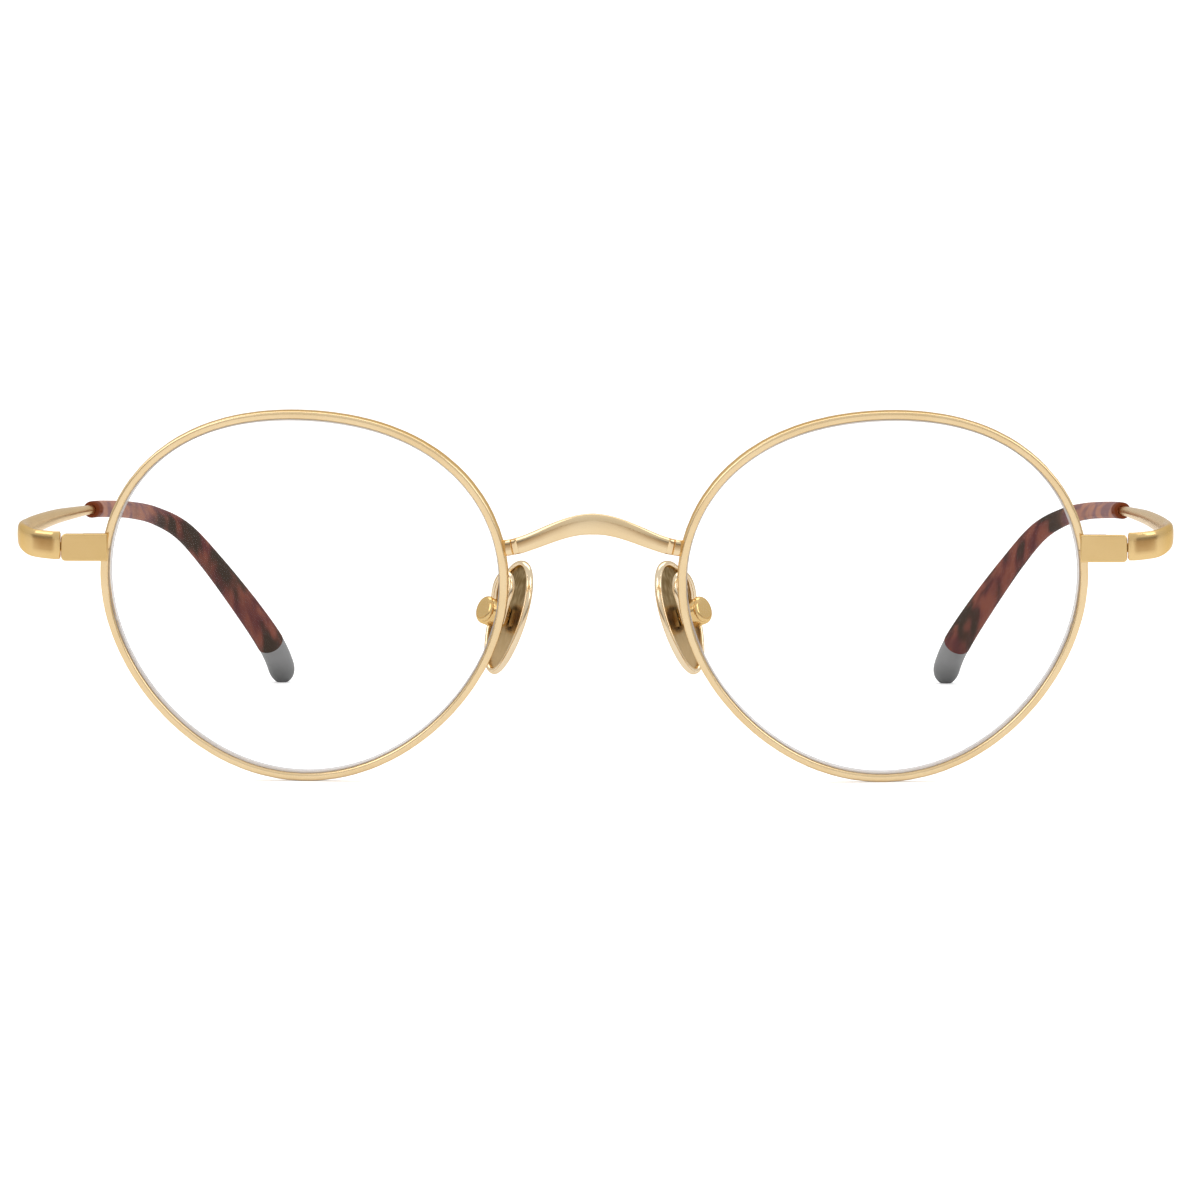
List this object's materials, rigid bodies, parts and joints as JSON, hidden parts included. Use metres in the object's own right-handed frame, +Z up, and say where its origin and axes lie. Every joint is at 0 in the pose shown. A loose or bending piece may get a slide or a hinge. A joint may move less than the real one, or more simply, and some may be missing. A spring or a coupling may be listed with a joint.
{
  "type": "eyeglasses frame",
  "caption": "Round panto wire eyeglasses frame in gold-plated metal with clear lenses, folding temples, tortoise ear sleeves and rocking metal nose pads.",
  "frame": {"origin": "on the surface the frame stands on, below the middle of its bounding box", "axes": "+X to the wearer's left, +Y from the front back to the temple tips, +Z up"},
  "size_m": [0.1382, 0.1438, 0.0443],
  "materials": {
    "gold_plate": "pale yellow gold plating, polished with a fine satin grain",
    "pad_metal": "gold-plated nose pad metal, satin in the dish and polished on the border",
    "screw_metal": "gold-coloured slotted screws, polished",
    "clear_lens": "clear demonstration lens with a frosted bevelled edge",
    "tortoise_acetate": "polished red-brown tortoise cellulose acetate",
    "grey_acetate": "smooth cool grey acetate, semi-gloss"
  },
  "bodies": {
    "front": {"bridge": "gold_plate", "rim_left": "gold_plate", "lens_left": "clear_lens", "endpiece_left": "gold_plate", "lock_block_upper_left": "gold_plate", "lock_block_lower_left": "gold_plate", "lock_screw_left": "screw_metal", "hinge_front_left": "gold_plate", "hinge_screw_left": "screw_metal", "pad_arm_left": "gold_plate", "pad_box_left": "gold_plate", "pad_screw_left": "screw_metal", "rim_right": "gold_plate", "lens_right": "clear_lens", "endpiece_right": "gold_plate", "lock_block_upper_right": "gold_plate", "lock_block_lower_right": "gold_plate", "lock_screw_right": "screw_metal", "hinge_front_right": "gold_plate", "hinge_screw_right": "screw_metal", "pad_arm_right": "gold_plate", "pad_box_right": "gold_plate", "pad_screw_right": "screw_metal"},
    "temple_left": {"hinge_temple_left": "gold_plate", "temple_left": "gold_plate", "sleeve_left": "tortoise_acetate", "tip_cap_left": "grey_acetate"},
    "temple_right": {"hinge_temple_right": "gold_plate", "temple_right": "gold_plate", "sleeve_right": "tortoise_acetate", "tip_cap_right": "grey_acetate"},
    "pad_left": {"nose_pad_left": "pad_metal", "pad_lug_left": "pad_metal"},
    "pad_right": {"nose_pad_right": "pad_metal", "pad_lug_right": "pad_metal"}
  },
  "joints": [
    {"name": "temple_left_fold", "type": "hinge", "parent": "front", "child": "temple_left", "pos_m": [0.0617, -0.06457, 0.0279], "axis": [0, 0, 1], "range_deg": [0, 84]},
    {"name": "temple_right_fold", "type": "hinge", "parent": "front", "child": "temple_right", "pos_m": [-0.0617, -0.06457, 0.0279], "axis": [0, 0, -1], "range_deg": [0, 76]},
    {"name": "pad_left_rock", "type": "hinge", "parent": "front", "child": "pad_left", "pos_m": [0.01146, -0.06308, 0.01984], "axis": [0.5736, 0.8192, 0], "range_deg": [-10, 10]},
    {"name": "pad_right_rock", "type": "hinge", "parent": "front", "child": "pad_right", "pos_m": [-0.01146, -0.06308, 0.01984], "axis": [-0.5736, 0.8192, 0], "range_deg": [-10, 10]}
  ]
}
